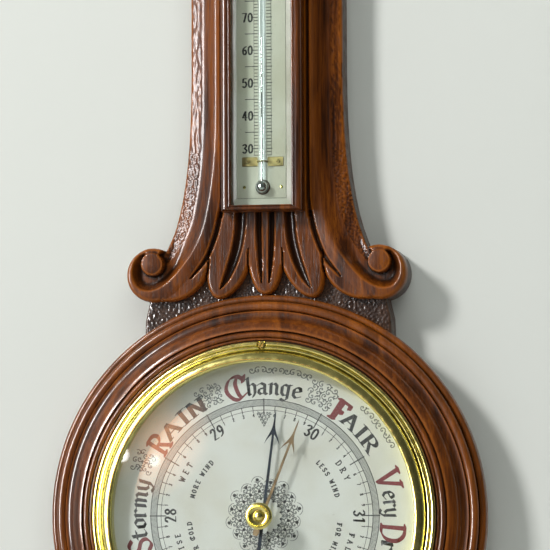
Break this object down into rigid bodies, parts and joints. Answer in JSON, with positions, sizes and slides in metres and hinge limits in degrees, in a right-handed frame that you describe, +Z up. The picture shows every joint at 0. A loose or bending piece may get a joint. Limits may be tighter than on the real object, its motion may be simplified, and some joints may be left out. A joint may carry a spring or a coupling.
{
  "type": "aneroid barometer",
  "caption": "Carved wooden banjo wall barometer with a thermometer box, a turned dial surround, a brass bezel, two hands and a full aneroid movement.",
  "frame": {"origin": "centre of the hanging hole in the brass plate, on the wall plane", "axes": "+Z up, -Y towards the viewer (the dial faces -Y), +X to the viewer's right; the wall is the plane y = 0"},
  "size_m": [0.292, 0.0572, 0.7842],
  "materials": {
    "oak": "dark stained and varnished, hand carved",
    "rear_board": "plain stained thin board",
    "brass": "polished and lacquered",
    "movement_brass": "satin",
    "steel": "bright",
    "blued_steel": "heat blued",
    "capsule_metal": "nickel silver, satin",
    "mercury": "liquid metal",
    "dial_enamel": "white enamelled card, slightly aged",
    "scale": "cream opal scale",
    "glass": "clear, polished bevels"
  },
  "bodies": {
    "case": {"backboard": "oak", "neck_carving": "oak", "crest_shell": "oak", "base_shell": "oak", "dial_surround": "oak", "hanger_plate": "brass", "hanger_screws": "brass", "rear_cover": "rear_board", "rear_cover_screws": "steel", "thermometer_frame": "oak", "thermometer_glass": "glass", "scale_plate": "scale", "thermometer_tube": "glass", "mercury": "mercury", "tube_clip": "brass", "scale_pins": "brass", "bezel": "brass", "bezel_screws": "brass", "dial_glass": "glass", "glass_ring": "brass", "knob_bush": "brass", "dial_card": "dial_enamel", "dial_plate": "movement_brass", "movement_pan": "movement_brass", "base_plate": "movement_brass", "pillars": "movement_brass", "capsule_lower": "capsule_metal", "capsule_upper": "capsule_metal", "bridge": "movement_brass", "main_spring": "blued_steel", "rocker_bearings": "movement_brass", "chain": "steel", "arbor_bridge": "movement_brass", "arbor_cock": "movement_brass", "hairspring": "blued_steel"},
    "set_hand_unit": {"set_knob": "brass", "set_hand": "brass"},
    "hand_unit": {"indicating_hand": "blued_steel", "hand_arbor": "steel"},
    "rocker": {"rocking_arbor": "steel"},
    "lever": {"main_lever": "steel", "link_rod": "steel"},
    "post": {"capsule_post": "steel"},
    "adjuster": {"adjusting_screw": "steel"}
  },
  "joints": [
    {"name": "set_hand_turn", "type": "hinge", "parent": "case", "child": "set_hand_unit", "pos_m": [0, 0, -0.54], "axis": [0, 1, 0], "continuous": true},
    {"name": "hand_turn", "type": "hinge", "parent": "case", "child": "hand_unit", "pos_m": [0, 0, -0.54], "axis": [0, 1, 0], "range_deg": [-157, 115], "deforming": ["hairspring"]},
    {"name": "rocker_turn", "type": "hinge", "parent": "case", "child": "rocker", "pos_m": [0.06, -0.012, -0.54], "axis": [0, 0, 1], "range_deg": [-23, 31.2], "deforming": ["chain"]},
    {"name": "lever_lift", "type": "hinge", "parent": "case", "child": "lever", "pos_m": [-0.044, -0.0194, -0.54], "axis": [0, 0, 1], "range_deg": [-1, 0.74], "deforming": ["main_spring"]},
    {"name": "capsule_breathe", "type": "slide", "parent": "case", "child": "post", "axis": [0, 1, 0], "range_m": [-0.00078, 0.00057]},
    {"name": "adjusting_screw_turn", "type": "hinge", "parent": "case", "child": "adjuster", "pos_m": [-0.047, 0, -0.54], "axis": [0, 1, 0], "continuous": true}
  ],
  "couplings": [
    {"joint": "rocker_turn", "follows": "hand_turn", "ratio": -0.19667},
    {"joint": "lever_lift", "follows": "hand_turn", "ratio": 0.0062434},
    {"joint": "capsule_breathe", "follows": "hand_turn", "m_per_rad": 0.00027471}
  ]
}
